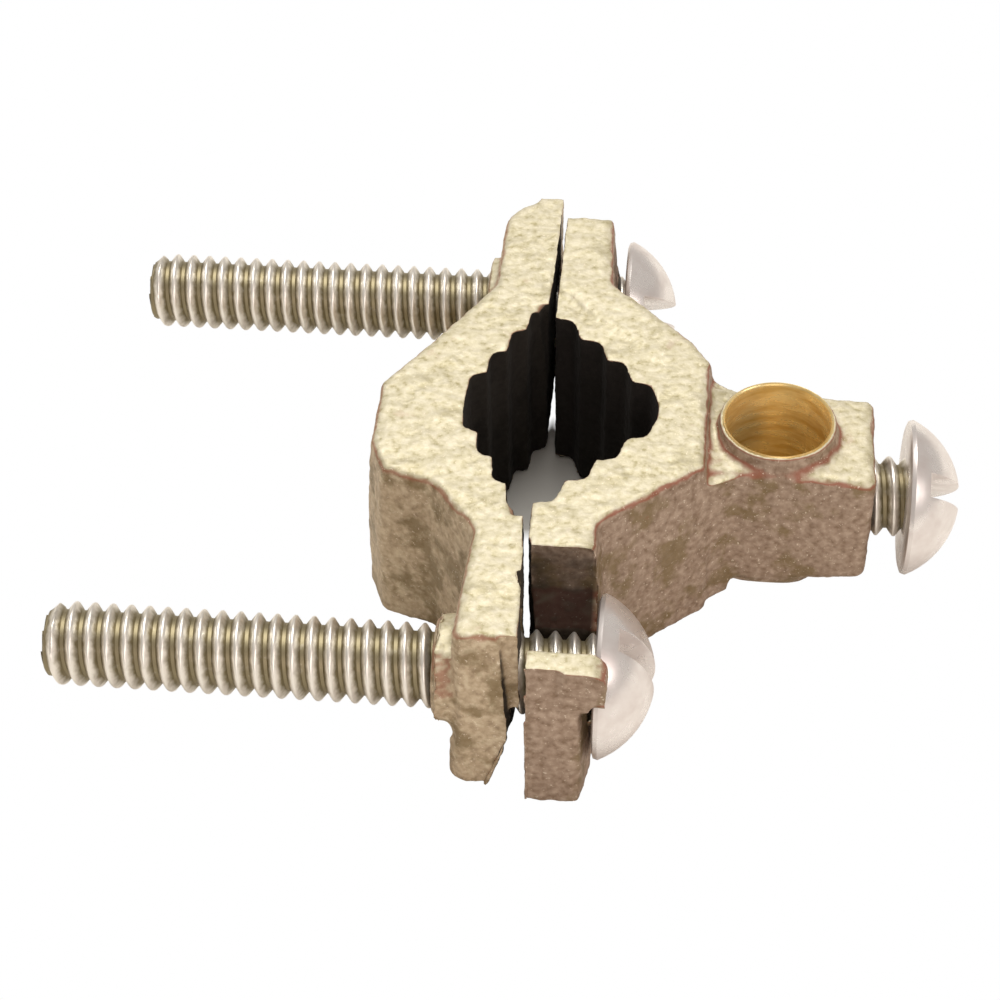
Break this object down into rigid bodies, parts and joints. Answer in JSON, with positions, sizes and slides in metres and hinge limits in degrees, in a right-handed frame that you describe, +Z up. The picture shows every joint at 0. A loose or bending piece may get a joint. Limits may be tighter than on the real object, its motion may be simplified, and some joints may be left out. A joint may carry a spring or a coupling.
{
  "type": "earth rod clamp",
  "caption": "Cast bronze earth rod clamp with serrated vee jaws, drawn together by long slotted screws, with a set screw lug for the earthing wire.",
  "frame": {"origin": "on the rod axis, midway between the clamp screws and where the jaws meet, at the flat underside", "axes": "+X along the screws from the threaded jaw towards the conductor hub, +Y from the slotted ear's screw towards the plain ear's screw, +Z up along the rod"},
  "size_m": [0.0528, 0.041, 0.0122],
  "materials": {
    "threaded_bronze": "sand cast",
    "lug_bronze": "sand cast, wire hole drilled bright",
    "screw_steel": "rolled thread, bright"
  },
  "bodies": {
    "threaded_jaw": {"threaded_jaw": "threaded_bronze"},
    "lug_jaw": {"lug_jaw": "lug_bronze"},
    "near_screw": {"near_screw": "screw_steel"},
    "far_screw": {"far_screw": "screw_steel"},
    "set_screw": {"set_screw": "screw_steel"}
  },
  "joints": [
    {"name": "jaw_travel", "type": "slide", "parent": "threaded_jaw", "child": "lug_jaw", "axis": [1, 0, 0], "range_m": [-0.00013, 0.0199]},
    {"name": "far_screw_turn", "type": "hinge", "parent": "lug_jaw", "child": "far_screw", "pos_m": [0, 0.016, 0.0061], "axis": [1, 0, 0], "range_deg": [-60, 6800]},
    {"name": "near_screw_turn", "type": "hinge", "parent": "lug_jaw", "child": "near_screw", "pos_m": [0, -0.016, 0.0061], "axis": [1, 0, 0], "range_deg": [-60, 6800]},
    {"name": "set_screw_travel", "type": "slide", "parent": "lug_jaw", "child": "set_screw", "axis": [1, 0, 0], "range_m": [-0.0017, 0.0012]}
  ],
  "couplings": [
    {"joint": "far_screw_turn", "follows": "jaw_travel", "rad_per_m": 5936.9},
    {"joint": "near_screw_turn", "follows": "jaw_travel", "rad_per_m": 5936.9}
  ]
}
